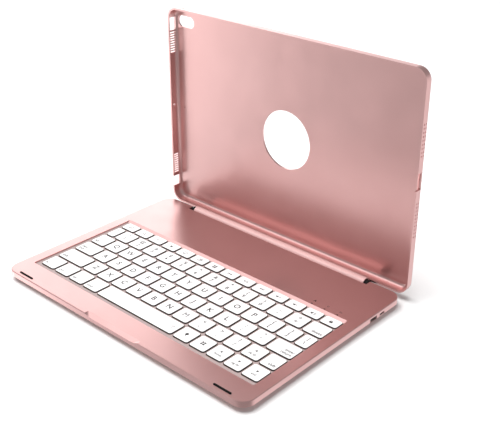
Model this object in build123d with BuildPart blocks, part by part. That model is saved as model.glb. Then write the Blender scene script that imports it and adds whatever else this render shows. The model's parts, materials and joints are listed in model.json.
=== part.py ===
"""Keyboard case for a tablet of the 10.5 inch size class.

A flat keyboard deck is joined by a barrel hinge to a shallow metal tray that holds the
tablet. The case is modelled standing open at a right angle.

Frame: X runs to the right, Y from the deck's front edge to the hinge, Z up. The origin is
on the table, at the centre of the open case's footprint. All sizes are in millimetres.
"""

import os
from math import asin, cos, sin

from build123d import *

# ---------------------------------------------------------------- driving dimensions
case_width = 254.0
deck_depth = 177.0
footprint_depth = 191.4
corner_radius = 10.0
front_y = -footprint_depth / 2

# Heights in the deck, from the table upwards.
foot_height = 1.2
floor_thickness = 1.0
seam_z = 4.3
deck_top_z = 8.8
plate_thickness = 1.2
plate_bottom_z = deck_top_z - plate_thickness
floor_top_z = foot_height + floor_thickness

# Deck covers.
cover_wall = 1.6
front_rail = 4.6
underside_bevel = 4.0
tray_wall = 4.6
tray_front_wall = 6.2
tray_notch_wall = 3.2
lip_inset = 1.7
lip_thickness = 1.2
lip_height = 1.2
edge_chamfer = 0.5

# Hinge: a barrel in a notch at the deck's rear edge.
hinge_y = front_y + 177.85
hinge_z = 4.95
notch_half_width = 96.8
notch_front_y = front_y + 171.8
barrel_radius = 4.5
barrel_bore_radius = 3.5
barrel_half_length = 92.6
shaft_radius = 1.5
running_clearance = 0.05
knuckle_radius = 3.4
knuckle_width = 2.6
side_gap = 0.1

# Tablet tray, standing behind the deck.
rim_y = front_y + 182.0
tray_depth = 9.4
tray_back_y = rim_y + tray_depth
tray_bottom_z = 5.3
tray_height = 178.0
tray_thickness = 1.6
tray_back_fillet = 5.0

# Key field.
well_width = 234.8
well_front_y = front_y + 19.5
well_rear_y = front_y + 120.8
well_corner_radius = 1.5
well_front_slope = 1.2
well_rear_slope = 3.0
keys_left_x = -113.6
keys_right_x = 116.4
key_gap = 1.8
cap_width = 15.07
cap_depth = 14.9
function_cap_depth = 10.0
cap_thickness = 1.0
cap_corner_radius = 2.0
cap_edge_fillet = 0.3
cap_draft = 16.0
cap_top_z = 8.6
cap_bottom_z = cap_top_z - cap_thickness
key_travel = 1.6
web_clearance = 0.45
web_thickness = 1.0
web_margin = 3.0
row_pitch = 16.7
bottom_row_y = front_y + 31.2

# Layers under the keys.
panel_width = 236.0
panel_front_y = front_y + 17.5
panel_rear_y = front_y + 124.2
panel_corner_radius = 2.0
light_guide_thickness = 0.5
base_plate_thickness = 0.5
membrane_thickness = 0.3
base_plate_z = floor_top_z + light_guide_thickness
membrane_z = base_plate_z + base_plate_thickness
membrane_top_z = membrane_z + membrane_thickness

# Scissor arms and domes under each key.
arm_thickness = 0.5
arm_gap = 0.3
low_pivot_z = membrane_top_z + arm_gap + arm_thickness / 2
high_pivot_z = cap_bottom_z - arm_gap - arm_thickness / 2
arm_rise = high_pivot_z - low_pivot_z
arm_length = 10.4
function_arm_length = 7.6
inner_arm_width = 6.2
inner_arm_window = 4.8
outer_arm_width = 8.6
outer_arm_window = 6.8
arm_end_bar = 0.8
dome_base_radius = 2.2
dome_top_radius = 1.3
dome_wall = 0.5
dome_cap_gap = 0.8
dome_roof = 1.0
space_scissor_offset = 22.0

# Main board and what it carries, to the right behind the keys.
board_z = 3.4
board_thickness = 1.0
board_top_z = board_z + board_thickness
board_left_x = 62.0
board_right_x = 122.0
board_front_y = front_y + 126.0
board_rear_y = front_y + 154.0
port_y = front_y + 139.3
switch_y = front_y + 150.0
switch_travel = 3.0

case_screw_points = [
    (side * x, front_y + y)
    for side in (-1, 1)
    for x, y in ((112.0, 11.0), (40.0, 11.0), (116.0, 165.5), (40.0, 165.5))
]
bracket_screw_points = [(side * 88.5, front_y + y) for side in (-1, 1) for y in (157.5, 165.0)]
board_screw_points = [(x, front_y + y) for x in (65.5, 108.0) for y in (129.5, 150.5)]
foot_points = [(side * 106.0, front_y + y) for side in (-1, 1) for y in (16.0, 158.0)]
indicator_points = [(x, front_y + 122.0) for x in (83.5, 95.2, 107.0)]
bumper_points = [(-105.0, front_y + 3.4), (105.0, front_y + 3.4)]


def save(part, name):
    """Label a finished piece and write it as one STEP file."""
    part.label = name
    export_step(part, f"parts/{name}.step")


# ---------------------------------------------------------------- key layout
def spread(left, right, count):
    """Centres and common width of count equal keys that fill left to right."""
    width = (right - left - (count - 1) * key_gap) / count
    return [(left + width / 2 + i * (width + key_gap), width) for i in range(count)]


def letter_row(first_x, count):
    """A row of equal letter keys between two keys that reach the ends of the key field."""
    letters = [(first_x + i * (cap_width + key_gap), cap_width) for i in range(count)]
    letters_left = first_x - cap_width / 2 - key_gap
    letters_right = letters[-1][0] + cap_width / 2 + key_gap
    return spread(keys_left_x, letters_left, 1) + letters + spread(letters_right, keys_right_x, 1)


space_left_x = -44.9
space_right_x = 35.2

key_rows = {
    "function": spread(keys_left_x, keys_right_x, 14),
    "number": letter_row(-95.8, 12),
    "upper_letter": letter_row(-89.2, 12),
    "home_letter": letter_row(-83.8, 11),
    "lower_letter": letter_row(-75.2, 11),
    "bottom": (
        spread(keys_left_x, space_left_x - key_gap, 4)
        + spread(space_right_x + key_gap, keys_right_x, 5)
    ),
    "space_bar": spread(space_left_x, space_right_x, 1),
}
row_y = {
    "function": bottom_row_y + 4 * row_pitch + cap_depth / 2 + key_gap + function_cap_depth / 2,
    "number": bottom_row_y + 4 * row_pitch,
    "upper_letter": bottom_row_y + 3 * row_pitch,
    "home_letter": bottom_row_y + 2 * row_pitch,
    "lower_letter": bottom_row_y + row_pitch,
    "bottom": bottom_row_y,
    "space_bar": bottom_row_y,
}


def depth_of(row):
    """Front-to-back size of a row's caps."""
    return function_cap_depth if row == "function" else cap_depth


def arm_length_of(row):
    """Length of a row's scissor arms between their pivots."""
    return function_arm_length if row == "function" else arm_length


def scissor_centres(row):
    """X of each scissor in a row: one under each key, and two under the space bar."""
    if row == "space_bar":
        middle = key_rows[row][0][0]
        return [middle - space_scissor_offset, middle + space_scissor_offset]
    return [x for x, _ in key_rows[row]]


def arm_angle(row):
    """Slope of a row's arms, in radians, with the keys up."""
    return asin(arm_rise / arm_length_of(row))


def arm_pivot_y(row):
    """Y of the front pivots of a row's arms."""
    return row_y[row] - arm_length_of(row) * cos(arm_angle(row)) / 2


# ---------------------------------------------------------------- outlines shared by the deck's pieces
def deck_outline(inset, front_inset):
    """Draw the deck's rounded outline in the open sketch, set in from its edges."""
    depth = deck_depth - inset - front_inset
    with Locations((0, front_y + front_inset + depth / 2)):
        RectangleRounded(case_width - 2 * inset, depth, corner_radius - inset)


def cut_hinge_notch(margin):
    """Cut the hinge notch out of the open sketch, with a margin around it."""
    with Locations((0, notch_front_y - margin)):
        Rectangle(
            2 * (notch_half_width + margin),
            deck_depth,
            align=(Align.CENTER, Align.MIN),
            mode=Mode.SUBTRACT,
        )


def block(x_range, y_range, z_range, mode=Mode.ADD):
    """Add or cut a plain block between the given limits."""
    centre = [(low + high) / 2 for low, high in (x_range, y_range, z_range)]
    size = [high - low for low, high in (x_range, y_range, z_range)]
    with Locations(tuple(centre)):
        Box(*size, mode=mode)


# Slots in the hinge notch's front wall, where the bracket arms pass, and openings in the
# right-hand wall for the charging port and the power switch.
knuckle_inner_x = barrel_half_length + 0.5
knuckle_outer_x = knuckle_inner_x + knuckle_width
bracket_slot_x = (knuckle_inner_x - 0.4, knuckle_outer_x + 0.4)
bracket_slot_y = (notch_front_y - 4.0, notch_front_y + 0.5)
bracket_arm_z = (hinge_z - 1.2, hinge_z + 1.2)
bracket_slot_z = (bracket_arm_z[0] - 0.3, bracket_arm_z[1] + 0.3)
wall_x = (case_width / 2 - 3.4, case_width / 2 + 1.0)
port_slot_y = (port_y - 4.1, port_y + 4.1)
port_slot_z = (seam_z, 7.1)
switch_slot_y = (switch_y - 3.0, switch_y + 3.0)
switch_slot_z = (4.9, 6.5)


def cut_wall_openings():
    """Cut the bracket slots and the port and switch openings out of a deck cover."""
    for side in (-1, 1):
        x_range = sorted(side * x for x in bracket_slot_x)
        block(x_range, bracket_slot_y, bracket_slot_z, Mode.SUBTRACT)
    block(wall_x, port_slot_y, port_slot_z, Mode.SUBTRACT)
    block(wall_x, switch_slot_y, switch_slot_z, Mode.SUBTRACT)


# ---------------------------------------------------------------- deck covers
boss_radius = 2.4
boss_bottom_z = floor_top_z + 0.2
screw_radius = 0.8
screw_hole_radius = 0.9
screw_head_radius = 1.8
screw_head_height = 0.9
screw_tip_z = 6.6
indicator_radius = 0.7
bumper_length = 16.0
bumper_width = 1.8
post_radius = 2.0
bumper_slot_depth = 1.2
bumper_rise = 0.5
bumper_edge_fillet = 0.3
scoop_width = 57.0
scoop_centre_x = -1.5
scoop_depth = 1.6
scoop_reach = 4.0
scoop_end_slope = 5.0
scoop_overhang = 4.0
scoop_corner_radius = 1.5


def scoop_outline(width, reach):
    """Draw one level of the finger scoop, open to the deck's front, in the open sketch."""
    with Locations((scoop_centre_x, front_y + reach)):
        RectangleRounded(
            width,
            scoop_overhang + reach,
            scoop_corner_radius,
            align=(Align.CENTER, Align.MAX),
        )


def well_outline(front_inset, rear_inset):
    """Draw one level of the key well in the open sketch, set in at its front and rear."""
    front = well_front_y + front_inset
    rear = well_rear_y - rear_inset
    with Locations((0, (front + rear) / 2)):
        RectangleRounded(well_width, rear - front, well_corner_radius)


def make_top_cover():
    """Top shell of the deck, with the key well, hinge notch and finger scoop."""
    with BuildPart() as cover:
        with BuildSketch(Plane.XY.offset(seam_z)):
            deck_outline(0, 0)
            cut_hinge_notch(0)
        extrude(amount=deck_top_z - seam_z)
        chamfer(cover.faces().sort_by(Axis.Z)[-1].edges(), edge_chamfer)
        with BuildSketch(Plane.XY.offset(seam_z)):
            deck_outline(cover_wall, front_rail)
            cut_hinge_notch(cover_wall)
        extrude(amount=plate_bottom_z - seam_z, mode=Mode.SUBTRACT)
        with BuildSketch(Plane.XY.offset(boss_bottom_z)):
            with Locations(*case_screw_points):
                Circle(boss_radius)
                Circle(screw_hole_radius, mode=Mode.SUBTRACT)
        extrude(amount=plate_bottom_z - boss_bottom_z)
        with BuildSketch(Plane.XY.offset(plate_bottom_z)):
            well_outline(well_front_slope, well_rear_slope)
        with BuildSketch(Plane.XY.offset(deck_top_z)):
            well_outline(0, 0)
        loft(ruled=True, mode=Mode.SUBTRACT)
        with BuildSketch(Plane.XY.offset(plate_bottom_z)):
            with Locations(*indicator_points):
                Circle(indicator_radius)
        extrude(amount=plate_thickness, mode=Mode.SUBTRACT)
        with BuildSketch(Plane.XY.offset(deck_top_z)):
            with Locations(*bumper_points):
                SlotOverall(bumper_length, bumper_width)
        extrude(amount=-bumper_slot_depth, mode=Mode.SUBTRACT)
        with BuildSketch(Plane.XY.offset(deck_top_z - scoop_depth)):
            scoop_outline(scoop_width - 2 * scoop_end_slope, 0)
        with BuildSketch(Plane.XY.offset(deck_top_z)):
            scoop_outline(scoop_width, scoop_reach)
        loft(ruled=True, mode=Mode.SUBTRACT)
        cut_wall_openings()
    return cover.part


def make_bottom_cover():
    """Bottom tray of the deck, bevelled underneath, with a lip that locates the top cover."""
    with BuildPart() as cover:
        with BuildSketch(Plane.XY.offset(foot_height)):
            deck_outline(underside_bevel, underside_bevel)
        with BuildSketch(Plane.XY.offset(seam_z)):
            deck_outline(0, 0)
        loft(ruled=True)
        with BuildSketch(Plane.XY.offset(seam_z)):
            deck_outline(lip_inset, front_rail + side_gap)
        extrude(amount=lip_height)
        block(
            (-notch_half_width, notch_half_width),
            (notch_front_y, notch_front_y + deck_depth),
            (0, seam_z),
            Mode.SUBTRACT,
        )
        block(
            (-notch_half_width - lip_inset, notch_half_width + lip_inset),
            (notch_front_y - lip_inset, notch_front_y + deck_depth),
            (seam_z, deck_top_z),
            Mode.SUBTRACT,
        )
        with BuildSketch(Plane.XY.offset(seam_z)):
            deck_outline(lip_inset + lip_thickness, front_rail + lip_thickness)
            cut_hinge_notch(lip_inset + lip_thickness)
        extrude(amount=lip_height, mode=Mode.SUBTRACT)
        with BuildSketch(Plane.XY.offset(floor_top_z)):
            deck_outline(tray_wall, tray_front_wall)
            cut_hinge_notch(tray_notch_wall)
        extrude(amount=seam_z - floor_top_z, mode=Mode.SUBTRACT)
        with BuildSketch(Plane.XY.offset(floor_top_z)):
            with Locations(*bracket_screw_points, *board_screw_points):
                Circle(post_radius)
        extrude(amount=board_z - floor_top_z)
        with BuildSketch(Plane.XY.offset(floor_top_z)):
            with Locations(*bracket_screw_points, *board_screw_points):
                Circle(screw_hole_radius)
        extrude(amount=board_z - floor_top_z, mode=Mode.SUBTRACT)
        with BuildSketch(Plane.XY.offset(foot_height)):
            with Locations(*case_screw_points):
                Circle(screw_hole_radius + side_gap)
        extrude(amount=floor_thickness, mode=Mode.SUBTRACT)
        with Locations(*[(x, y, foot_height) for x, y in case_screw_points]):
            Cone(
                screw_head_radius + side_gap,
                screw_hole_radius + side_gap,
                screw_head_height,
                align=(Align.CENTER, Align.CENTER, Align.MIN),
                mode=Mode.SUBTRACT,
            )
        cut_wall_openings()
    return cover.part


def make_key_grid():
    """Floor of the key well: a thin panel with an opening for every key."""
    front = well_front_y - web_margin
    rear = well_rear_y + web_margin
    bottom_z = plate_bottom_z - web_thickness
    with BuildPart() as grid:
        with BuildSketch(Plane.XY.offset(bottom_z)):
            with Locations((0, (front + rear) / 2)):
                Rectangle(well_width + 2 * web_margin, rear - front)
            for row, keys in key_rows.items():
                for x, width in keys:
                    with Locations((x, row_y[row])):
                        RectangleRounded(
                            width + 2 * web_clearance,
                            depth_of(row) + 2 * web_clearance,
                            cap_corner_radius + web_clearance,
                            mode=Mode.SUBTRACT,
                        )
            with Locations(*indicator_points):
                Circle(indicator_radius, mode=Mode.SUBTRACT)
        extrude(amount=web_thickness)
    return grid.part


# ---------------------------------------------------------------- keys
def make_key_caps(row):
    """Caps of one row, each a drafted rounded slab with a softened top edge."""
    with BuildPart() as caps:
        with BuildSketch(Plane.XY.offset(cap_bottom_z)):
            for x, width in key_rows[row]:
                with Locations((x, row_y[row])):
                    RectangleRounded(width, depth_of(row), cap_corner_radius)
        extrude(amount=cap_thickness, taper=cap_draft)
        fillet(caps.faces().filter_by(Axis.Z).group_by(Axis.Z)[-1].edges(), cap_edge_fillet)
    return caps.part


def make_arms(row, width, window, pivot_z, slope):
    """One row's scissor arms: flat frames that slope from their front pivots to the rear."""
    angle = slope * arm_angle(row)
    length = arm_length_of(row)
    plane = Plane(
        origin=(0, arm_pivot_y(row), pivot_z),
        x_dir=(1, 0, 0),
        z_dir=(0, -sin(angle), cos(angle)),
    )
    with BuildPart() as arms:
        with BuildSketch(plane):
            with Locations(*[(x, length / 2) for x in scissor_centres(row)]):
                Rectangle(width, length)
                Rectangle(window, length - 2 * arm_end_bar, mode=Mode.SUBTRACT)
        extrude(amount=arm_thickness / 2, both=True)
    return arms.part


def make_domes(row):
    """One row's rubber domes, one under each key, hollow from below."""
    height = cap_bottom_z - dome_cap_gap - membrane_top_z
    base = (Align.CENTER, Align.CENTER, Align.MIN)
    with BuildPart() as domes:
        with Locations(*[(x, row_y[row], membrane_top_z) for x, _ in key_rows[row]]):
            Cone(dome_base_radius, dome_top_radius, height, align=base)
            Cone(
                dome_base_radius - dome_wall,
                dome_top_radius - dome_wall,
                height - dome_roof,
                align=base,
                mode=Mode.SUBTRACT,
            )
    return domes.part


def make_stabiliser():
    """Wire under the space bar: a long bar along its front with an arm at each end."""
    angle = -arm_angle("space_bar")
    middle, width = key_rows["space_bar"][0]
    end_inset = 4.0
    reach = width / 2 - end_inset
    wire = 0.6
    wire_drop = 0.3
    bar_y = -0.8
    wire_length = arm_length - 0.4
    plane = Plane(
        origin=(0, arm_pivot_y("space_bar"), high_pivot_z - wire_drop),
        x_dir=(1, 0, 0),
        z_dir=(0, -sin(angle), cos(angle)),
    )
    with BuildPart() as stabiliser:
        with BuildSketch(plane):
            with Locations((middle, bar_y)):
                Rectangle(2 * reach, wire)
            for side in (-1, 1):
                with Locations((middle + side * (reach - wire / 2), bar_y + wire_length / 2)):
                    Rectangle(wire, wire_length)
        extrude(amount=arm_thickness / 2, both=True)
    return stabiliser.part


# ---------------------------------------------------------------- layers under the keys
def make_layer(bottom_z, thickness):
    """One flat layer of the keyboard stack."""
    with BuildPart() as layer:
        with BuildSketch(Plane.XY.offset(bottom_z)):
            with Locations((0, (panel_front_y + panel_rear_y) / 2)):
                RectangleRounded(panel_width, panel_rear_y - panel_front_y, panel_corner_radius)
        extrude(amount=thickness)
    return layer.part


led_size = (1.6, 0.8, 0.6)
pipe_recess = 0.2


def make_status_leds():
    """Three indicator chips on the membrane's rear edge."""
    with BuildPart() as leds:
        with Locations(*[(x, y, membrane_top_z + led_size[2] / 2) for x, y in indicator_points]):
            Box(*led_size)
    return leds.part


def make_light_pipes():
    """Clear pins that carry each indicator's light up to the deck's surface."""
    pipe_bottom_z = membrane_top_z + led_size[2]
    with BuildPart() as pipes:
        with BuildSketch(Plane.XY.offset(pipe_bottom_z)):
            with Locations(*indicator_points):
                Circle(indicator_radius - running_clearance)
        extrude(amount=deck_top_z - pipe_recess - pipe_bottom_z)
    return pipes.part


ribbon_x = 78.0
ribbon_width = 12.0


def make_ribbon():
    """Flat cable from the membrane up onto the main board."""
    thickness = 0.2
    start_y = panel_rear_y - 1.5
    rise_y = board_front_y - 0.9
    end_y = board_front_y + 3.2
    with BuildPart() as ribbon:
        with BuildSketch(Plane.YZ.offset(ribbon_x)):
            with BuildLine():
                Polyline(
                    (start_y, membrane_top_z),
                    (panel_rear_y, membrane_top_z),
                    (rise_y, board_top_z),
                    (end_y, board_top_z),
                    (end_y, board_top_z + thickness),
                    (rise_y, board_top_z + thickness),
                    (panel_rear_y, membrane_top_z + thickness),
                    (start_y, membrane_top_z + thickness),
                    close=True,
                )
            make_face()
        extrude(amount=ribbon_width / 2, both=True)
    return ribbon.part


# ---------------------------------------------------------------- electronics
ribbon_connector_size = (14.0, 3.4, 1.4)
ribbon_connector_y = front_y + 131.0
battery_connector_size = (3.0, 6.0, 1.8)
battery_connector_x = 63.6
component_y = front_y + 141.0
chip_size = (7.0, 7.0, 1.0)
chip_points = [(78.0, front_y + 143.0), (104.0, front_y + 139.0)]
module_size = (12.0, 10.0, 1.8)
module_x = 92.0


def place_on_board(size, *points):
    """Add a block standing on the board at each point."""
    with Locations(*[(x, y, board_top_z + size[2] / 2) for x, y in points]):
        Box(*size)


def make_main_board():
    """Circuit board with its ribbon and battery connectors and chips."""
    with BuildPart() as board:
        with BuildSketch(Plane.XY.offset(board_z)):
            with Locations(((board_left_x + board_right_x) / 2, (board_front_y + board_rear_y) / 2)):
                Rectangle(board_right_x - board_left_x, board_rear_y - board_front_y)
            with Locations(*board_screw_points):
                Circle(screw_hole_radius, mode=Mode.SUBTRACT)
        extrude(amount=board_thickness)
        place_on_board(ribbon_connector_size, (ribbon_x, ribbon_connector_y))
        place_on_board(battery_connector_size, (battery_connector_x, component_y))
        place_on_board(chip_size, *chip_points)
    return board.part


def make_wireless_module():
    """Shielded radio module on the main board."""
    with BuildPart() as module:
        place_on_board(module_size, (module_x, component_y))
    return module.part


battery_x = (-60.0, 30.0)
battery_y = (front_y + 127.5, front_y + 161.0)
battery_top_z = 6.4
battery_edge_fillet = 1.0
battery_wire_y = (front_y + 140.0, front_y + 142.0)
battery_wire_z = 5.3
battery_wire_radius = 0.5


def make_battery():
    """Flat pouch cell behind the keys."""
    with BuildPart() as cell:
        block(battery_x, battery_y, (floor_top_z, battery_top_z))
        fillet(cell.edges().filter_by(Axis.X), battery_edge_fillet)
    return cell.part


def make_battery_wires():
    """Pair of leads from the cell to the board's battery connector."""
    with BuildPart() as wires:
        with BuildSketch(Plane.YZ.offset(battery_x[1])):
            with Locations(*[(y, battery_wire_z) for y in battery_wire_y]):
                Circle(battery_wire_radius)
        extrude(amount=board_left_x + side_gap - battery_x[1])
    return wires.part


port_x = (120.9, 126.4)
port_width = 7.5
port_top_z = 6.9
port_shell = 0.45
port_back_wall = 1.0
port_corner_radius = 0.6
port_tongue_width = 4.8
port_tongue_z = (5.5, 5.9)
port_tongue_setback = 1.0


def make_charging_port():
    """Metal shell of the charging socket, open to the right, with its tongue."""
    outer_y = (port_y - port_width / 2, port_y + port_width / 2)
    inner_y = (outer_y[0] + port_shell, outer_y[1] - port_shell)
    tongue_y = (port_y - port_tongue_width / 2, port_y + port_tongue_width / 2)
    bore_x = (port_x[0] + port_back_wall, port_x[1] + side_gap)
    tongue_x = (bore_x[0] - side_gap, port_x[1] - port_tongue_setback)
    with BuildPart() as port:
        block(port_x, outer_y, (board_top_z, port_top_z))
        fillet(port.edges().filter_by(Axis.X), port_corner_radius)
        block(bore_x, inner_y, (board_top_z + port_shell, port_top_z - port_shell), Mode.SUBTRACT)
        block(tongue_x, tongue_y, port_tongue_z)
    return port.part


switch_x = (118.6, 123.4)
switch_length = 7.0
switch_top_z = 6.9
switch_channel_x = (120.6, 123.5)
switch_channel_length = 5.8
switch_channel_z = (4.8, 6.6)
knob_x = (121.0, 126.8)
knob_length = 2.0
knob_z = (5.2, 6.2)
knob_edge_fillet = 0.2


def around(middle, length):
    """Limits of a length centred on a point."""
    return (middle - length / 2, middle + length / 2)


def make_switch_body():
    """Slide switch on the main board, with a channel for its knob."""
    with BuildPart() as body:
        block(switch_x, around(switch_y, switch_length), (board_top_z, switch_top_z))
        block(switch_channel_x, around(switch_y, switch_channel_length), switch_channel_z, Mode.SUBTRACT)
    return body.part


def make_switch_knob():
    """Knob of the slide switch, standing at the off end of its travel."""
    knob_y = switch_y - switch_travel / 2
    with BuildPart() as knob:
        block(knob_x, around(knob_y, knob_length), knob_z)
        fillet(knob.faces().sort_by(Axis.X)[-1].edges(), knob_edge_fillet)
    return knob.part


magnet_point = (-108.0, front_y + 141.0)
magnet_radius = 4.0
magnet_thickness = 2.0


def make_wake_magnet():
    """Magnet under the deck's plate that tells the tablet when the case is shut."""
    with BuildPart() as magnet:
        with BuildSketch(Plane.XY.offset(plate_bottom_z - magnet_thickness)):
            with Locations(magnet_point):
                Circle(magnet_radius)
        extrude(amount=magnet_thickness)
    return magnet.part


# ---------------------------------------------------------------- feet, bumpers and screws
foot_radius = 5.0
foot_chamfer = 0.3
screw_slot = (2.0, 0.4, 0.8)
pan_head_radius = 1.6
pan_head_height = 0.7
pan_screw_length = 1.9


def make_feet():
    """Four rubber feet."""
    with BuildPart() as feet:
        with BuildSketch():
            with Locations(*foot_points):
                Circle(foot_radius)
        extrude(amount=foot_height)
        chamfer(feet.faces().group_by(Axis.Z)[0].edges(), foot_chamfer)
    return feet.part


def make_bumpers():
    """Two rubber strips at the front that keep the glass off the deck."""
    with BuildPart() as bumpers:
        with BuildSketch(Plane.XY.offset(deck_top_z - bumper_slot_depth)):
            with Locations(*bumper_points):
                SlotOverall(bumper_length - side_gap, bumper_width - side_gap)
        extrude(amount=bumper_slot_depth + bumper_rise)
        fillet(bumpers.faces().filter_by(Axis.Z).group_by(Axis.Z)[-1].edges(), bumper_edge_fillet)
    return bumpers.part


def make_case_screws():
    """Countersunk screws that hold the two deck covers together."""
    base = (Align.CENTER, Align.CENTER, Align.MIN)
    length, width, depth = screw_slot
    with BuildPart() as screws:
        with Locations(*[(x, y, foot_height) for x, y in case_screw_points]):
            Cone(screw_head_radius, screw_radius, screw_head_height, align=base)
            Cylinder(screw_radius, screw_tip_z - foot_height, align=base)
        with Locations(*[(x, y, foot_height) for x, y in case_screw_points]):
            Box(length, width, depth, mode=Mode.SUBTRACT)
            Box(width, length, depth, mode=Mode.SUBTRACT)
    return screws.part


def make_short_screws(points, seat_z):
    """Small pan-head screws driven down into the bottom cover's posts."""
    with BuildPart() as screws:
        with BuildSketch(Plane.XY.offset(seat_z)):
            with Locations(*points):
                Circle(pan_head_radius)
        extrude(amount=pan_head_height)
        with BuildSketch(Plane.XY.offset(seat_z)):
            with Locations(*points):
                Circle(screw_radius)
        extrude(amount=-pan_screw_length)
    return screws.part


# ---------------------------------------------------------------- hinge
hinge_axis = Plane.YZ
leaf_length = 21.9
shaft_inner_x = 72.0
shaft_head_radius = 2.4
shaft_head_inner_x = knuckle_outer_x + side_gap
shaft_outer_x = shaft_head_inner_x + 0.6
bracket_leg_y = (front_y + 163.0, front_y + 167.4)
bracket_plate_x = 85.5
bracket_plate_front_y = front_y + 154.6
bracket_plate_z = board_z
bracket_plate_thickness = 0.8
bracket_plate_top_z = bracket_plate_z + bracket_plate_thickness


def make_hinge_brackets():
    """Steel brackets screwed into the deck; each ends in a knuckle round a hinge shaft."""
    arm_front_y, plate_rear_y = bracket_leg_y
    plate_z = (bracket_plate_z, bracket_plate_top_z)
    with BuildPart() as brackets:
        for side in (-1, 1):
            inner_x, outer_x = sorted(side * x for x in (knuckle_inner_x, knuckle_outer_x))
            with BuildSketch(hinge_axis.offset(inner_x)):
                with Locations((hinge_y, hinge_z)):
                    Circle(knuckle_radius)
                with Locations(((arm_front_y + hinge_y) / 2, hinge_z)):
                    Rectangle(hinge_y - arm_front_y, bracket_arm_z[1] - bracket_arm_z[0])
                with Locations((hinge_y, hinge_z)):
                    Circle(shaft_radius + running_clearance, mode=Mode.SUBTRACT)
            extrude(amount=outer_x - inner_x)
            plate_x = sorted(side * x for x in (bracket_plate_x, knuckle_outer_x))
            block(plate_x, (bracket_plate_front_y, plate_rear_y), plate_z)
        with BuildSketch(Plane.XY.offset(bracket_plate_z)):
            with Locations(*bracket_screw_points):
                Circle(screw_hole_radius)
        extrude(amount=bracket_plate_thickness, mode=Mode.SUBTRACT)
    return brackets.part


def hinge_cylinders(radius, bore_radius, inner_x, outer_x):
    """A matching pair of cylinders on the hinge axis, one at each end."""
    with BuildPart() as pair:
        for side in (-1, 1):
            low_x, high_x = sorted((side * inner_x, side * outer_x))
            with BuildSketch(hinge_axis.offset(low_x)):
                with Locations((hinge_y, hinge_z)):
                    Circle(radius)
                    if bore_radius:
                        Circle(bore_radius, mode=Mode.SUBTRACT)
            extrude(amount=high_x - low_x)
    return pair.part


def make_hinge_shafts():
    """Hinge shafts, each with a riveted head outside its knuckle."""
    with BuildPart() as shafts:
        add(hinge_cylinders(shaft_radius, 0, shaft_inner_x, shaft_outer_x))
        add(hinge_cylinders(shaft_head_radius, 0, shaft_head_inner_x, shaft_outer_x))
    return shafts.part


def make_hinge_leaves():
    """Sleeves that fix the shafts in the ends of the barrel."""
    return hinge_cylinders(
        barrel_bore_radius - side_gap,
        shaft_radius,
        barrel_half_length - leaf_length,
        barrel_half_length - side_gap,
    )


def make_friction_washers():
    """Washers between the barrel's ends and the knuckles."""
    return hinge_cylinders(
        knuckle_radius,
        shaft_radius + running_clearance,
        barrel_half_length + side_gap,
        knuckle_inner_x - side_gap,
    )


flange_rear_y = front_y + 184.6
flange_depth = 3.2
flange_bottom_z = tray_bottom_z - 1.5
tray_clearance_cut = 4.0
tray_screw_points = [(x, front_y + 183.3) for x in (-84.0, -50.0, -16.0, 16.0, 50.0, 84.0)]
tray_screw_hole_radius = 0.7
tray_screw_radius = 0.6
tray_screw_head_radius = 1.1
tray_screw_head_height = 0.4
tray_screw_grip = 1.2


def make_hinge_cover():
    """Tubular barrel that hides the hinge, with a flange under the tray's lower wall."""
    with BuildPart() as cover:
        with BuildSketch(hinge_axis):
            with Locations((hinge_y, hinge_z)):
                Circle(barrel_radius)
            with Locations((flange_rear_y - flange_depth / 2, (flange_bottom_z + tray_bottom_z) / 2)):
                Rectangle(flange_depth, tray_bottom_z - flange_bottom_z)
            with Locations((rim_y + tray_clearance_cut / 2, tray_bottom_z + tray_clearance_cut / 2)):
                Rectangle(tray_clearance_cut, tray_clearance_cut, mode=Mode.SUBTRACT)
            with Locations((hinge_y, hinge_z)):
                Circle(barrel_bore_radius, mode=Mode.SUBTRACT)
        extrude(amount=barrel_half_length, both=True)
        with BuildSketch(Plane.XY.offset(flange_bottom_z)):
            with Locations(*tray_screw_points):
                Circle(tray_screw_hole_radius)
        extrude(amount=tray_bottom_z - flange_bottom_z, mode=Mode.SUBTRACT)
    return cover.part


def make_tray_screws():
    """Small screws up through the flange into the tray's lower wall."""
    with BuildPart() as screws:
        with BuildSketch(Plane.XY.offset(flange_bottom_z - tray_screw_head_height)):
            with Locations(*tray_screw_points):
                Circle(tray_screw_head_radius)
        extrude(amount=tray_screw_head_height)
        with BuildSketch(Plane.XY.offset(flange_bottom_z)):
            with Locations(*tray_screw_points):
                Circle(tray_screw_radius)
        extrude(amount=tray_bottom_z - flange_bottom_z + tray_screw_grip)
    return screws.part


# ---------------------------------------------------------------- tablet tray
def tray_z(height):
    """Z of a point at the given height above the deck's top surface."""
    return deck_top_z + height


left_wall_x = (-case_width / 2 - 1.0, -case_width / 2 + tray_thickness + 1.2)
right_wall_x = (case_width / 2 - tray_thickness - 0.5, case_width / 2 + 1.0)
screw_wall_depth = 1.3
emblem_point = (-1.5, tray_z(86.0))
emblem_radius = 24.8
camera_point = (-112.7, tray_z(162.2))
camera_size = (18.6, 9.7)
camera_corner_radius = 4.4
rear_microphone_point = (-117.7, tray_z(85.5))
rear_microphone_radius = 0.6
power_window_y = (front_y + 182.8, front_y + 188.8)
power_window_z = (tray_z(153.8), tray_z(164.8))
speaker_slot_y = (front_y + 182.8, front_y + 188.6)
speaker_slot_pitch = 2.1
speaker_slot_height = 1.2
speaker_slot_count = 9
speaker_slot_starts = (134.4, 22.6)
side_hole_point = (front_y + 185.2, tray_z(87.4))
side_hole_radius = 1.0
edge_notch_y = (rim_y - 1.0, front_y + 188.6)
headphone_notch_z = (tray_z(10.0), tray_z(19.3))
connector_notch_z = (tray_z(84.0), tray_z(97.6))
speaker_hole_y = (front_y + 184.2, front_y + 186.6)
speaker_hole_pitch = 3.0
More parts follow.
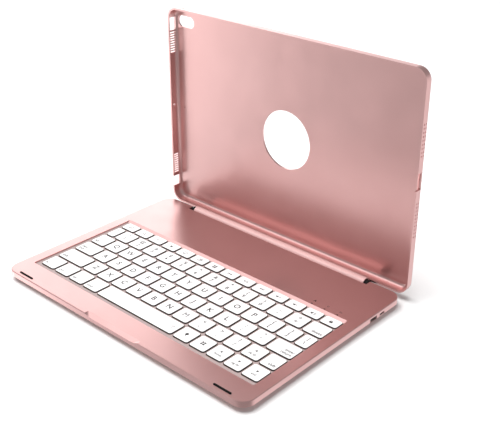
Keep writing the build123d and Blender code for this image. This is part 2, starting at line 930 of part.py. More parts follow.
speaker_hole_radius = 0.6
speaker_hole_fields = ((46.5, 10), (110.5, 9))
top_microphone_point = (-112.0, front_y + 186.0)
top_microphone_radius = 0.8


def cut_left_wall():
    """Power button window, speaker slots, microphone hole and headphone notch."""
    block(left_wall_x, power_window_y, power_window_z, Mode.SUBTRACT)
    for start in speaker_slot_starts:
        for i in range(speaker_slot_count):
            low = tray_z(start + i * speaker_slot_pitch)
            block(left_wall_x, speaker_slot_y, (low, low + speaker_slot_height), Mode.SUBTRACT)
    with BuildSketch(Plane.YZ.offset(left_wall_x[0])) as side_hole:
        with Locations(side_hole_point):
            Circle(side_hole_radius)
    extrude(side_hole.sketch, amount=left_wall_x[1] - left_wall_x[0], mode=Mode.SUBTRACT)
    block(left_wall_x, edge_notch_y, headphone_notch_z, Mode.SUBTRACT)


def cut_right_wall():
    """Connector notch between two fields of speaker holes."""
    block(right_wall_x, edge_notch_y, connector_notch_z, Mode.SUBTRACT)
    with BuildSketch(Plane.YZ.offset(right_wall_x[0])) as speaker_holes:
        for low, count in speaker_hole_fields:
            heights = [tray_z(low + i * speaker_hole_pitch) for i in range(count)]
            with Locations(*[(y, z) for y in speaker_hole_y for z in heights]):
                Circle(speaker_hole_radius)
    extrude(speaker_holes.sketch, amount=right_wall_x[1] - right_wall_x[0], mode=Mode.SUBTRACT)


def make_tray():
    """Shallow metal tray that holds the tablet, with its cut-outs."""
    middle_z = tray_bottom_z + tray_height / 2
    top_wall_z = tray_bottom_z + tray_height - tray_thickness
    with BuildPart() as tray:
        with BuildSketch(Plane.XZ.offset(-tray_back_y)):
            with Locations((0, middle_z)):
                RectangleRounded(case_width, tray_height, corner_radius)
        extrude(amount=tray_depth)
        fillet(tray.faces().sort_by(Axis.Y)[-1].edges(), tray_back_fillet)
        offset(amount=-tray_thickness, openings=tray.faces().sort_by(Axis.Y)[0])
        with BuildSketch(Plane.XZ.offset(-tray_back_y - 1.0)):
            with Locations(emblem_point):
                Circle(emblem_radius)
            with Locations(camera_point):
                RectangleRounded(*camera_size, camera_corner_radius)
            with Locations(rear_microphone_point):
                Circle(rear_microphone_radius)
        extrude(amount=tray_thickness + 2.0, mode=Mode.SUBTRACT)
        cut_left_wall()
        cut_right_wall()
        with BuildSketch(Plane.XY.offset(top_wall_z - 1.0)):
            with Locations(top_microphone_point):
                Circle(top_microphone_radius)
        extrude(amount=tray_thickness + 2.0, mode=Mode.SUBTRACT)
        with BuildSketch(Plane.XY.offset(tray_bottom_z)):
            with Locations(*tray_screw_points):
                Circle(tray_screw_hole_radius)
        extrude(amount=screw_wall_depth, mode=Mode.SUBTRACT)
    return tray.part


# ---------------------------------------------------------------- write every piece
def main():
    """Make each piece and write it to the parts folder."""
    os.makedirs("parts", exist_ok=True)
    save(make_top_cover(), "top_cover")
    save(make_bottom_cover(), "bottom_cover")
    save(make_key_grid(), "key_grid")
    for row in key_rows:
        name = row if row == "space_bar" else f"{row}_key"
        save(make_key_caps(row), "space_bar" if row == "space_bar" else f"{row}_keys")
        save(make_arms(row, inner_arm_width, inner_arm_window, low_pivot_z, 1), f"{name}_inner_arms")
        save(make_arms(row, outer_arm_width, outer_arm_window, high_pivot_z, -1), f"{name}_outer_arms")
        save(make_domes(row), f"{name}_domes")
    save(make_stabiliser(), "space_bar_stabiliser")
    save(make_layer(floor_top_z, light_guide_thickness), "backlight_panel")
    save(make_layer(base_plate_z, base_plate_thickness), "base_plate")
    save(make_layer(membrane_z, membrane_thickness), "membrane")
    save(make_status_leds(), "status_leds")
    save(make_light_pipes(), "light_pipes")
    save(make_ribbon(), "membrane_ribbon")
    save(make_main_board(), "main_board")
    save(make_wireless_module(), "wireless_module")
    save(make_battery(), "battery_cell")
    save(make_battery_wires(), "battery_wires")
    save(make_charging_port(), "charging_port")
    save(make_switch_body(), "power_switch_body")
    save(make_switch_knob(), "power_switch_knob")
    save(make_wake_magnet(), "wake_magnet")
    save(make_feet(), "rubber_feet")
    save(make_bumpers(), "front_bumpers")
    save(make_case_screws(), "case_screws")
    save(make_short_screws(board_screw_points, board_top_z), "board_screws")
    save(make_short_screws(bracket_screw_points, bracket_plate_top_z), "bracket_screws")
    save(make_hinge_brackets(), "hinge_brackets")
    save(make_hinge_shafts(), "hinge_shafts")
    save(make_hinge_leaves(), "hinge_leaves")
    save(make_friction_washers(), "friction_washers")
    save(make_hinge_cover(), "hinge_cover")
    save(make_tray_screws(), "tray_screws")
    save(make_tray(), "tablet_tray")


main()
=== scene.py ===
"""Looks for the tablet keyboard case: materials, key legends, camera, light and floor.

Everything is in metres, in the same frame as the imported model. Lengths written in
millimetres are multiplied by MM where they are used.
"""
import json
from math import cos, pi, radians, sin

import bmesh
import bpy
from mathutils import Matrix, Vector


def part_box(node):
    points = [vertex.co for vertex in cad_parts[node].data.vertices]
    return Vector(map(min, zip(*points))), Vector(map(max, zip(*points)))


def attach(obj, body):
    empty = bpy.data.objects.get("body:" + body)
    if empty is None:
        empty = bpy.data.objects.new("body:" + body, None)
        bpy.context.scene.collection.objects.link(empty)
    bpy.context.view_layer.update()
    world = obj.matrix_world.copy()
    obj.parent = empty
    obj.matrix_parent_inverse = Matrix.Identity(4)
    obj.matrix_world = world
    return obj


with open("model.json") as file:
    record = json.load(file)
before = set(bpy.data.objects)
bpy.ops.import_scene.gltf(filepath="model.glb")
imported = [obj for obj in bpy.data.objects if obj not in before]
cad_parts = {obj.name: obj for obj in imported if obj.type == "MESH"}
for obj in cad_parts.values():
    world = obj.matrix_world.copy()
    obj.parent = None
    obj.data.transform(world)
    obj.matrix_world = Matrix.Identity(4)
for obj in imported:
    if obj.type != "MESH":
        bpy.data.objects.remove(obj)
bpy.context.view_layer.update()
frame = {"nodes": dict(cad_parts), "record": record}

MM = 0.001
NODES = frame["nodes"]
SLOT_OF = {entry["node"]: entry["material_slot"] for entry in frame["record"]["subparts"]}


# ---------------------------------------------------------------- camera
CAMERA_PLACE = Vector((0.4287, -0.4283, 0.3679))
CAMERA_AIM = Vector((0.0184, 0.0297, 0.0600))
CAMERA_ROLL = radians(0.39)
CAMERA_LENS = 65.16
CAMERA_NEAR = 0.01


def make_camera():
    """Camera at the height and side from which the open case is seen."""
    data = bpy.data.cameras.new("camera")
    data.lens = CAMERA_LENS
    data.clip_start = CAMERA_NEAR
    camera = bpy.data.objects.new("camera", data)
    bpy.context.scene.collection.objects.link(camera)
    facing = (CAMERA_AIM - CAMERA_PLACE).to_track_quat("-Z", "Y").to_matrix().to_4x4()
    rolled = facing @ Matrix.Rotation(CAMERA_ROLL, 4, "Z")
    camera.matrix_world = Matrix.Translation(CAMERA_PLACE) @ rolled
    bpy.context.scene.camera = camera


# ---------------------------------------------------------------- materials
# Height on a cap's side where its white face gives way to painted shade: the near-black below it
# stands in for the shadowed gaps between keys.
CAP_FACE_DEPTH = 0.22 * MM
CAP_FACE_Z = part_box("home_letter_keys")[1].z - CAP_FACE_DEPTH
SIDE_SHADE_BLEND = 0.03 * MM
# Painted shade: near-black on the caps' sides, in place of the shadow in the gaps between keys.
SIDE_SHADE_COLOR = (0.02, 0.014, 0.014)

# The part of a noise's range that most of its values fall in.
NOISE_LOW = 0.3
NOISE_HIGH = 0.7

# How metallic the coloured skin is, the darkest share of a moulded colour, and how far
# the roughness of each kind of surface wanders to either side.
ANODISED_METALLIC = 0.97
MOULDED_DARK_SHARE = 0.94
ANODISED_WANDER = 0.025
MOULDED_WANDER = 0.04
BRUSHED_WANDER = 0.08


def new_material(name, color, roughness, metallic=0.0):
    """A material with one even colour, and its principled shader."""
    material = bpy.data.materials.new(name)
    material.use_nodes = True
    shader = material.node_tree.nodes["Principled BSDF"]
    shader.inputs["Base Color"].default_value = (*color, 1.0)
    shader.inputs["Roughness"].default_value = roughness
    shader.inputs["Metallic"].default_value = metallic
    return material, shader


def add_noise(material, scale, detail=4.0, stretch=(1.0, 1.0, 1.0)):
    """Noise over the object's own coordinates, stretched along an axis if asked."""
    nodes, links = material.node_tree.nodes, material.node_tree.links
    place = nodes.new("ShaderNodeTexCoord")
    mapping = nodes.new("ShaderNodeMapping")
    mapping.inputs["Scale"].default_value = stretch
    noise = nodes.new("ShaderNodeTexNoise")
    noise.inputs["Scale"].default_value = scale
    noise.inputs["Detail"].default_value = detail
    links.new(place.outputs["Object"], mapping.inputs["Vector"])
    links.new(mapping.outputs["Vector"], noise.inputs["Vector"])
    return noise


def add_ramp(material, source, low, high):
    """Colours from low to high as the noise rises through its middle range."""
    ramp = material.node_tree.nodes.new("ShaderNodeValToRGB")
    ramp.color_ramp.elements[0].position = NOISE_LOW
    ramp.color_ramp.elements[1].position = NOISE_HIGH
    ramp.color_ramp.elements[0].color = (*low, 1.0)
    ramp.color_ramp.elements[1].color = (*high, 1.0)
    material.node_tree.links.new(source.outputs["Fac"], ramp.inputs["Fac"])
    return ramp


def vary_color(material, shader, scale, low, high, detail=3.0, stretch=(1.0, 1.0, 1.0)):
    """Let the base colour wander between two close tones."""
    ramp = add_ramp(material, add_noise(material, scale, detail, stretch), low, high)
    material.node_tree.links.new(ramp.outputs["Color"], shader.inputs["Base Color"])


def vary_roughness(material, shader, scale, low, high, detail=3.0, stretch=(1.0, 1.0, 1.0)):
    """Let the roughness wander between two values."""
    noise = add_noise(material, scale, detail, stretch)
    spread = material.node_tree.nodes.new("ShaderNodeMapRange")
    spread.inputs["From Min"].default_value = NOISE_LOW
    spread.inputs["From Max"].default_value = NOISE_HIGH
    spread.inputs["To Min"].default_value = low
    spread.inputs["To Max"].default_value = high
    material.node_tree.links.new(noise.outputs["Fac"], spread.inputs["Value"])
    material.node_tree.links.new(spread.outputs["Result"], shader.inputs["Roughness"])


def add_bump(material, shader, scale, height, strength=1.0, detail=2.0, stretch=(1.0, 1.0, 1.0)):
    """Raise a fine texture of the given height, in metres."""
    noise = add_noise(material, scale, detail, stretch)
    bump = material.node_tree.nodes.new("ShaderNodeBump")
    bump.inputs["Strength"].default_value = strength
    bump.inputs["Distance"].default_value = height
    material.node_tree.links.new(noise.outputs["Fac"], bump.inputs["Height"])
    material.node_tree.links.new(bump.outputs["Normal"], shader.inputs["Normal"])


def anodised(name, low, high, roughness):
    """Bead-blasted aluminium with a coloured anodised skin."""
    material, shader = new_material(name, high, roughness, metallic=ANODISED_METALLIC)
    vary_color(material, shader, 14.0, low, high)
    vary_roughness(material, shader, 60.0, roughness - ANODISED_WANDER, roughness + ANODISED_WANDER)
    add_bump(material, shader, 5200.0, 0.012 * MM, strength=0.35)
    return material


def moulded(name, color, roughness, grain=0.01 * MM, metallic=0.0, shine=0.5):
    """Moulded plastic or rubber with a fine grain."""
    material, shader = new_material(name, color, roughness, metallic)
    shader.inputs["Specular IOR Level"].default_value = shine
    vary_color(material, shader, 30.0, tuple(c * MOULDED_DARK_SHARE for c in color), color)
    vary_roughness(material, shader, 90.0, roughness - MOULDED_WANDER, roughness + MOULDED_WANDER)
    add_bump(material, shader, 3800.0, grain, strength=0.4)
    return material


def key_plastic():
    """White satin key faces over near-black painted shade on the caps' sides, split at a height on the
    cap's side.
    """
    material, shader = new_material("white_key_plastic_painted_side_shade", (0.86, 0.85, 0.85), 0.42)
    nodes, links = material.node_tree.nodes, material.node_tree.links
    white = add_ramp(material, add_noise(material, 24.0), (0.84, 0.83, 0.83), (0.88, 0.87, 0.87))
    place = nodes.new("ShaderNodeTexCoord")
    split = nodes.new("ShaderNodeSeparateXYZ")
    links.new(place.outputs["Object"], split.inputs["Vector"])
    above = nodes.new("ShaderNodeMapRange")
    above.inputs["From Min"].default_value = CAP_FACE_Z - SIDE_SHADE_BLEND
    above.inputs["From Max"].default_value = CAP_FACE_Z + SIDE_SHADE_BLEND
    links.new(split.outputs["Z"], above.inputs["Value"])
    # Below the split height the colour turns to the near-black painted shade of the gaps between keys.
    mix = nodes.new("ShaderNodeMix")
    mix.data_type = "RGBA"
    mix.inputs["A"].default_value = (*SIDE_SHADE_COLOR, 1.0)
    links.new(above.outputs["Result"], mix.inputs["Factor"])
    links.new(white.outputs["Color"], mix.inputs["B"])
    links.new(mix.outputs["Result"], shader.inputs["Base Color"])
    vary_roughness(material, shader, 140.0, 0.36, 0.46)
    add_bump(material, shader, 6000.0, 0.006 * MM, strength=0.3)
    shader.inputs["Coat Weight"].default_value = 0.15
    shader.inputs["Coat Roughness"].default_value = 0.25
    return material


def brushed(name, color, roughness):
    """Steel with fine lines along X."""
    material, shader = new_material(name, color, roughness, metallic=1.0)
    low, high = roughness - BRUSHED_WANDER, roughness + BRUSHED_WANDER
    vary_roughness(material, shader, 900.0, low, high, stretch=(0.05, 1.0, 1.0))
    add_bump(material, shader, 2600.0, 0.008 * MM, strength=0.3, stretch=(0.04, 1.0, 1.0))
    return material


def circuit_board():
    """Green solder mask with faint copper runs."""
    material, shader = new_material("solder_mask", (0.02, 0.13, 0.06), 0.35)
    runs = {"detail": 0.0, "stretch": (1.0, 0.12, 1.0)}
    vary_color(material, shader, 420.0, (0.01, 0.09, 0.04), (0.05, 0.2, 0.1), **runs)
    add_bump(material, shader, 420.0, 0.03 * MM, strength=0.4, **runs)
    return material


def clear_plastic():
    """Milky clear plastic for the light guide."""
    material, shader = new_material("light_guide_plastic", (0.82, 0.84, 0.86), 0.22)
    shader.inputs["Transmission Weight"].default_value = 0.35
    shader.inputs["IOR"].default_value = 1.49
    add_bump(material, shader, 1500.0, 0.01 * MM, strength=0.2)
    return material


def make_materials():
    """One material for each of the record's slots, and the finishes of single nodes."""
    rose_low, rose_high = (0.82, 0.50, 0.485), (0.86, 0.535, 0.52)
    return {
        "rose_metal": anodised("rose_anodised_metal", rose_low, rose_high, 0.31),
        # The barrel is a lighter, less metallic copy of the rose metal: painted highlight for the
        # light along its top.
        "rose_barrel": moulded("rose_barrel_painted_highlight", (0.92, 0.60, 0.58), 0.42, metallic=0.35),
        "key_plastic": key_plastic(),
        "arm_plastic": moulded("natural_plastic", (0.72, 0.71, 0.67), 0.5),
        "dome_rubber": moulded("dome_silicone", (0.62, 0.64, 0.65), 0.55),
        "black_rubber": moulded(
            "black_rubber", (0.008, 0.007, 0.007), 0.62, grain=0.02 * MM, shine=0.12
        ),
        "steel": brushed("brushed_steel", (0.50, 0.49, 0.48), 0.34),
        "dark_steel": brushed("blackened_steel", (0.03, 0.03, 0.03), 0.42),
        "smoked": moulded("smoked_plastic", (0.008, 0.004, 0.004), 0.35, shine=0.12),
        "pale_web": moulded("pale_web", (0.40, 0.31, 0.30), 0.5),
        "film": moulded("amber_film", (0.45, 0.28, 0.09), 0.3),
        "light_guide": clear_plastic(),
        "board": circuit_board(),
        "cell_wrap": brushed("cell_foil", (0.52, 0.53, 0.55), 0.4),
        "wire": moulded("wire_insulation", (0.3, 0.015, 0.012), 0.4),
        "black_plastic": moulded("black_plastic", (0.018, 0.018, 0.02), 0.4),
    }


# Nodes that look different from the other nodes of their slot.
FINISH_OF = {
    "hinge_brackets": "dark_steel",
    "hinge_shafts": "dark_steel",
    "friction_washers": "dark_steel",
    "light_pipes": "smoked",
    "key_grid": "pale_web",
}


def dress_cad_nodes(materials):
    """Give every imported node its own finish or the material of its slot."""
    for name, node in NODES.items():
        node.data.materials.clear()
        node.data.materials.append(materials[FINISH_OF.get(name, SLOT_OF[name])])


# ---------------------------------------------------------------- legends on the keys
# How far the ink stands above a face and reaches into it.
LEGEND_RISE = 0.016 * MM
LEGEND_SINK = 0.02 * MM
CIRCLE_POINTS = 28
ARC_POINTS = 16

# Sizes of the lettering, and how far its outline grows as a share of its size.
LETTER_SIZE = 6.8 * MM
PAIR_SIZE = 5.0 * MM
WORD_SIZE = 3.6 * MM
SMALL_WORD_SIZE = 2.8 * MM
STROKE_GAIN = 0.017
THIN_LETTER = "M"
CURVE_STEPS = 4
ICON_SCALE = 1.35

# Where a legend stands on its key.
WORD_INSET = 1.8 * MM
WORD_HEIGHT = 3.6 * MM
TWO_LINE_HEIGHT = 5.2 * MM
PAIR_RISE = 2.8 * MM
PAIR_DROP = 2.6 * MM
ICON_RISE = 1.4 * MM
SMALL_WORD_DROP = 2.6 * MM
LONG_KEY = 40 * MM
LONG_KEY_INSET = 5 * MM

# Gap that tells two caps apart, and the reach of a weld.
CAP_GAP = 0.3 * MM
WELD = 0.0005 * MM


def key_spans(node):
    """[(left x, right x)] of the separate caps in a node, from left to right."""
    mesh = NODES[node].data
    spans = []
    for low, high in sorted(
        (min(xs), max(xs))
        for xs in ([mesh.vertices[i].co.x for i in polygon.vertices] for polygon in mesh.polygons)
    ):
        if spans and low < spans[-1][1] + CAP_GAP:
            spans[-1][1] = max(spans[-1][1], high)
        else:
            spans.append([low, high])
    return spans


def add_prism(mesh, outline, holes=()):
    """Add a closed flat plate with the given outline and holes to a bmesh."""
    loops = [outline, *holes]
    edges = []
    for points in loops:
        verts = [mesh.verts.new((x, y, -LEGEND_SINK)) for x, y in points]
        edges += [mesh.edges.new((verts[i], verts[(i + 1) % len(verts)])) for i in range(len(verts))]
    made = bmesh.ops.triangle_fill(mesh, use_beauty=True, use_dissolve=False, edges=edges)
    faces = [f for f in made["geom"] if isinstance(f, bmesh.types.BMFace)]
    raised = bmesh.ops.extrude_face_region(mesh, geom=faces, use_keep_orig=True)
    top = [v for v in raised["geom"] if isinstance(v, bmesh.types.BMVert)]
    bmesh.ops.translate(mesh, verts=top, vec=(0, 0, LEGEND_SINK + LEGEND_RISE))


def circle_points(x, y, radius, count=CIRCLE_POINTS, start=0.0, sweep=2 * pi):
    """Points of a circle or, with a shorter sweep, an arc."""
    steps = count if sweep >= 2 * pi else count - 1
    angles = [start + sweep * i / steps for i in range(count)]
    return [(x + radius * cos(angle), y + radius * sin(angle)) for angle in angles]


def rect_points(x, y, width, height):
    """Corners of a rectangle round its centre."""
    corners = ((-1, -1), (1, -1), (1, 1), (-1, 1))
    return [(x + sx * width / 2, y + sy * height / 2) for sx, sy in corners]


def disc(mesh, x, y, radius):
    """Solid dot."""
    add_prism(mesh, circle_points(x, y, radius))


def ring(mesh, x, y, radius, line):
    """Circle drawn with a line that lies inside its radius."""
    add_prism(mesh, circle_points(x, y, radius), [circle_points(x, y, radius - line)])


def bar(mesh, x, y, width, height):
    """Solid rectangle."""
    add_prism(mesh, rect_points(x, y, width, height))


def frame_box(mesh, x, y, width, height, line):
    """Rectangle drawn with a line that lies inside it."""
    inner = rect_points(x, y, width - 2 * line, height - 2 * line)
    add_prism(mesh, rect_points(x, y, width, height), [inner])


def triangle(mesh, x, y, size, turn):
    """Solid arrow head; turn 0 points right, a quarter turn points up."""
    add_prism(mesh, circle_points(x, y, size, 3, turn))


def arc(mesh, x, y, radius, line, start, sweep):
    """Part of a ring, from a start angle round by a sweep."""
    outer = circle_points(x, y, radius, ARC_POINTS, start, sweep)
    inner = circle_points(x, y, radius - line, ARC_POINTS, start, sweep)
    add_prism(mesh, outer + inner[::-1])


# Each icon is drawn about its own centre, in millimetres before ICON_SCALE.
RAYS = 8


def rays(m):
    """Dots all round a sun."""
    for i in range(RAYS):
        angle = i * 2 * pi / RAYS
        disc(m, 1.5 * cos(angle), 1.5 * sin(angle), 0.18)


def icon_home(m):
    ring(m, 0, 0, 1.5, 0.3)
    frame_box(m, 0, 0, 1.2, 1.2, 0.25)


def icon_search(m):
    ring(m, -0.3, 0.3, 1.1, 0.3)
    add_prism(m, [(0.35, -0.6), (0.6, -0.35), (1.6, -1.35), (1.35, -1.6)])


def icon_sun(m):
    ring(m, 0, 0, 0.8, 0.3)
    rays(m)


def icon_bright(m):
    disc(m, 0, 0, 0.85)
    rays(m)


def icon_screen(m):
    frame_box(m, 0, 0.2, 2.8, 1.9, 0.28)
    bar(m, 0, -1.3, 1.6, 0.3)


def icon_grid(m):
    for x in (-0.75, 0.75):
        for y in (-0.75, 0.75):
            bar(m, x, y, 1.15, 1.15)


def icon_windows(m):
    frame_box(m, -0.4, -0.35, 2.0, 1.6, 0.28)
    add_prism(m, [(-0.9, 0.75), (-0.9, 1.2), (1.5, 1.2), (1.5, -0.8), (1.0, -0.8), (1.0, 0.75)])


def icon_back(m):
    for x in (-0.55, 0.85):
        triangle(m, x, 0, 0.85, pi)
    bar(m, -1.6, 0, 0.3, 1.5)


def icon_play(m):
    triangle(m, -0.7, 0, 0.95, 0)
    for x in (0.75, 1.45):
        bar(m, x, 0, 0.35, 1.6)


def icon_next(m):
    for x in (-0.85, 0.55):
        triangle(m, x, 0, 0.85, 0)
    bar(m, 1.6, 0, 0.3, 1.5)


def speaker(m):
    add_prism(m, [(-1.7, -0.45), (-1.0, -0.45), (-0.2, -1.2), (-0.2, 1.2), (-1.0, 0.45), (-1.7, 0.45)])


def icon_mute(m):
    speaker(m)
    add_prism(m, [(0.35, -0.55), (0.6, -0.8), (1.7, 0.55), (1.45, 0.8)])


def icon_quieter(m):
    speaker(m)
    arc(m, -0.3, 0, 1.2, 0.28, -pi / 4, pi / 2)


def icon_louder(m):
    speaker(m)
    arc(m, -0.3, 0, 1.2, 0.28, -pi / 4, pi / 2)
    arc(m, -0.3, 0, 1.9, 0.28, -pi / 4, pi / 2)


def icon_lock(m):
    bar(m, 0, -0.5, 2.0, 1.5)
    arc(m, 0, 0.2, 0.8, 0.28, 0, pi)


def icon_lamp(m):
    disc(m, 0, 0.3, 1.0)
    bar(m, 0, -1.0, 0.9, 0.55)


def icon_up(m):
    triangle(m, 0, 0, 1.0, pi / 2)


def icon_down(m):
    triangle(m, 0, 0, 1.0, -pi / 2)


def icon_left(m):
    triangle(m, 0, 0, 1.0, pi)


def icon_right(m):
    triangle(m, 0, 0, 1.0, 0)


def icon_waves(m):
    disc(m, 0, -0.9, 0.25)
    arc(m, 0, -0.9, 1.1, 0.25, pi / 4, pi / 2)
    arc(m, 0, -0.9, 1.8, 0.25, pi / 4, pi / 2)


def icon_battery(m):
    frame_box(m, -0.15, 0, 2.4, 1.3, 0.25)
    bar(m, 1.25, 0, 0.3, 0.6)


# What stands on each row's keys, from left to right. A pair of strings is a shifted
# sign over a plain one, a single character is centred, and a word sits low on its key.
LEGENDS = {
    "function_keys": [
        icon_home, icon_search, icon_sun, icon_bright, icon_screen, icon_windows, icon_grid,
        icon_back, icon_play, icon_next, icon_mute, icon_quieter, icon_louder, icon_lock,
    ],
    "number_keys": [("~", "`")] + list(zip("!@#$%^&*()_+", "1234567890-=")) + ["delete"],
    "upper_letter_keys": ["tab", *"QWERTYUIOP", ("{", "["), ("}", "]"), ("|", "\\")],
    "home_letter_keys": ["caps\nlock", *"ASDFGHJKL", (":", ";"), ('"', "'"), "enter\nreturn"],
    "lower_letter_keys": [
        "shift", *"ZXCVBNM", ("<", ","), (">", "."), ("?", "/"), (icon_up, "pg up"), "shift",
    ],
    "bottom_keys": [
        "fn", "ctrl", "alt", "cmd", icon_lamp, icon_grid,
        (icon_left, "home"), (icon_down, "pg dn"), (icon_right, "end"),
    ],
    "space_bar": [icon_waves],
}


def add_text(mesh, text, size, x, y, align="CENTER"):
    """Add closed, raised lettering to a bmesh, centred on a height of y."""
    curve = bpy.data.curves.new("legend_text", "FONT")
    curve.body = text
    curve.size = size
    curve.align_x = align
    curve.align_y = "CENTER"
    curve.extrude = (LEGEND_RISE + LEGEND_SINK) / 2
    # The M's outline closes up when it is grown.
    curve.offset = 0.0 if text == THIN_LETTER else STROKE_GAIN * size
    curve.resolution_u = CURVE_STEPS
    writing = bpy.data.objects.new("legend_text", curve)
    flat = bpy.data.meshes.new_from_object(writing)
    flat.transform(Matrix.Translation((x, y, (LEGEND_RISE - LEGEND_SINK) / 2)))
    mesh.from_mesh(flat)
    bpy.data.objects.remove(writing)
    bpy.data.curves.remove(curve)
    bpy.data.meshes.remove(flat)


def add_icon(mesh, icon, x, y, scale=ICON_SCALE):
    """Add an icon to a bmesh at the given place."""
    own = bmesh.new()
    icon(own)
    place = Matrix.Translation((x, y, 0)) @ Matrix.Diagonal((scale * MM, scale * MM, 1, 1))
    bmesh.ops.transform(own, matrix=place, verts=own.verts)
    flat = bpy.data.meshes.new("icon")
    own.to_mesh(flat)
    own.free()
    mesh.from_mesh(flat)
    bpy.data.meshes.remove(flat)


def word_height(legend):
    """Height of a word's middle above the front of its key."""
    return TWO_LINE_HEIGHT if "\n" in legend else WORD_HEIGHT


def add_legend(mesh, legend, left, right, front, rear):
    """Add one key's legend inside the key's outline."""
    x, y = (left + right) / 2, (front + rear) / 2
    if callable(legend):
        place = right - LONG_KEY_INSET if right - left > LONG_KEY else x
        add_icon(mesh, legend, place, y)
    elif isinstance(legend, tuple) and callable(legend[0]):
        add_icon(mesh, legend[0], x, y + ICON_RISE)
        add_text(mesh, legend[1], SMALL_WORD_SIZE, x, y - SMALL_WORD_DROP)
    elif isinstance(legend, tuple):
        add_text(mesh, legend[0], PAIR_SIZE, x, y + PAIR_RISE)
        add_text(mesh, legend[1], PAIR_SIZE, x, y - PAIR_DROP)
    elif len(legend) == 1:
        add_text(mesh, legend, LETTER_SIZE, x, y)
    elif x < 0:
        add_text(mesh, legend, WORD_SIZE, left + WORD_INSET, front + word_height(legend), "LEFT")
    else:
        add_text(mesh, legend, WORD_SIZE, right - WORD_INSET, front + word_height(legend), "RIGHT")


def finish_piece(name, mesh, height, material, body):
    """Turn a bmesh into a piece that rides on a body."""
    bmesh.ops.remove_doubles(mesh, verts=mesh.verts, dist=WELD)
    bmesh.ops.recalc_face_normals(mesh, faces=mesh.faces)
    bmesh.ops.translate(mesh, verts=mesh.verts, vec=(0, 0, height))
    data = bpy.data.meshes.new(name)
    mesh.to_mesh(data)
    mesh.free()
    data.materials.append(material)
    piece = bpy.data.objects.new(name, data)
    bpy.context.scene.collection.objects.link(piece)
    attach(piece, body)


def make_legends():
    """Printed legends, one piece for each key row."""
    ink = moulded("legend_ink", (0.03, 0.028, 0.028), 0.5, shine=0.2)
    for row, legends in LEGENDS.items():
        low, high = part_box(row)
        mesh = bmesh.new()
        for legend, (left, right) in zip(legends, key_spans(row), strict=True):
            add_legend(mesh, legend, left, right, low.y, high.y)
        finish_piece(f"{row}_legends", mesh, high.z, ink, row)


MARK_GAP = 3.6 * MM
MARK_LETTER_SIZE = 3.4 * MM
MARK_SCALE = 0.85
MARK_INSET = 0.55 * MM


def make_indicator_marks():
    """Small printed marks behind the three indicators."""
    ink = moulded("mark_ink", (0.04, 0.015, 0.014), 0.5, shine=0.15)
    low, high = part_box("light_pipes")
    mark_y = high.y + MARK_GAP
    mesh = bmesh.new()
    add_text(mesh, "A", MARK_LETTER_SIZE, low.x + MARK_INSET, mark_y)
    add_icon(mesh, icon_waves, (low.x + high.x) / 2, mark_y, MARK_SCALE)
    add_icon(mesh, icon_battery, high.x - MARK_INSET, mark_y, MARK_SCALE)
    finish_piece("indicator_marks", mesh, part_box("top_cover")[1].z, ink, "deck")


# ---------------------------------------------------------------- floor and light
FLOOR_REACH = 6.0
FLOOR_COLOR = (0.90, 0.90, 0.90)


def make_floor():
    """Plain pale floor that the metal does not mirror."""
    mesh = bmesh.new()
    bmesh.ops.create_grid(mesh, x_segments=1, y_segments=1, size=FLOOR_REACH)
    data = bpy.data.meshes.new("floor")
    mesh.to_mesh(data)
    mesh.free()
    material, shader = new_material("pale_floor", FLOOR_COLOR, 0.9)
    shader.inputs["Specular IOR Level"].default_value = 0.0
    data.materials.append(material)
    floor = bpy.data.objects.new("floor", data)
    floor.visible_glossy = False
    bpy.context.scene.collection.objects.link(floor)


SOFTBOX_PLACE = Vector((-0.25, -0.1, 1.6))
SOFTBOX_SIZE = 1.3
SOFTBOX_POWER = 32.0


def make_softbox():
    """Large square soft box overhead, aimed at the case, that the metal does not mirror."""
    data = bpy.data.lights.new("softbox_overhead", "AREA")
    data.shape = "SQUARE"
    data.size = SOFTBOX_SIZE
    data.energy = SOFTBOX_POWER
    softbox = bpy.data.objects.new("softbox_overhead", data)
    softbox.location = SOFTBOX_PLACE
    softbox.rotation_mode = "QUATERNION"
    softbox.rotation_quaternion = (-SOFTBOX_PLACE).to_track_quat("-Z", "Y")
    softbox.visible_glossy = False
    bpy.context.scene.collection.objects.link(softbox)


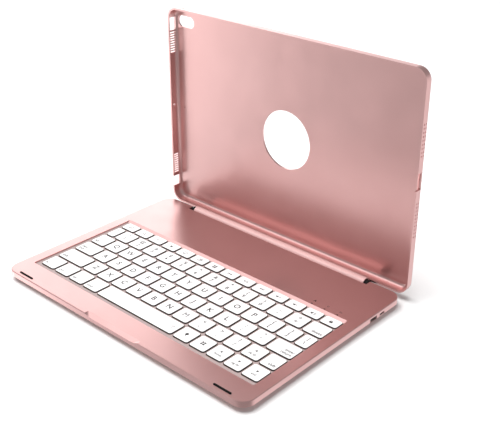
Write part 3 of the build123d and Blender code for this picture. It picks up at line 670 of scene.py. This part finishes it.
# Each broad glow: the way to its middle, where it starts and is full as a cosine, and
# how much it adds to the even surroundings. A negative one is a dark flag.
SURROUNDINGS = 0.33
GLOWS = (
    ((-0.80, 0.50, 0.35), 0.92, 0.99, 1.55),
    ((-0.92, -0.33, -0.22), 0.90, 0.965, 2.60),
    ((0.45, 0.80, -0.40), 0.70, 0.95, 0.60),
    ((-0.50, -0.15, 0.85), 0.84, 0.95, 1.10),
    ((-0.50, -0.75, -0.43), 0.70, 0.97, 0.17),
    ((-0.55, -0.68, 0.48), 0.78, 0.96, -0.03),
    ((-0.60, 0.78, 0.20), 0.93, 0.985, 0.80),
)


def make_surroundings():
    """Even studio walls, brighter towards each glow and darker towards the flag."""
    world = bpy.data.worlds.new("studio")
    world.use_nodes = True
    world.cycles.sampling_method = "NONE"
    nodes, links = world.node_tree.nodes, world.node_tree.links
    background = nodes["Background"]
    background.inputs["Color"].default_value = (1.0, 1.0, 1.0, 1.0)
    way = nodes.new("ShaderNodeTexCoord")
    so_far = None
    for middle, start, full, gain in GLOWS:
        toward = nodes.new("ShaderNodeVectorMath")
        toward.operation = "DOT_PRODUCT"
        toward.inputs[1].default_value = Vector(middle).normalized()
        links.new(way.outputs["Generated"], toward.inputs[0])
        glow = nodes.new("ShaderNodeMapRange")
        glow.interpolation_type = "SMOOTHSTEP"
        glow.inputs["From Min"].default_value = start
        glow.inputs["From Max"].default_value = full
        glow.inputs["To Max"].default_value = gain
        links.new(toward.outputs["Value"], glow.inputs["Value"])
        total = nodes.new("ShaderNodeMath")
        total.operation = "ADD"
        total.inputs[0].default_value = SURROUNDINGS
        if so_far:
            links.new(so_far.outputs["Value"], total.inputs[0])
        links.new(glow.outputs["Result"], total.inputs[1])
        so_far = total
    links.new(so_far.outputs["Value"], background.inputs["Strength"])
    bpy.context.scene.world = world


def make_lighting():
    """Broad surroundings and one large soft box overhead."""
    make_surroundings()
    make_softbox()
    bpy.context.scene.view_settings.view_transform = "Standard"


make_camera()
dress_cad_nodes(make_materials())
make_legends()
make_indicator_marks()
make_floor()
make_lighting()
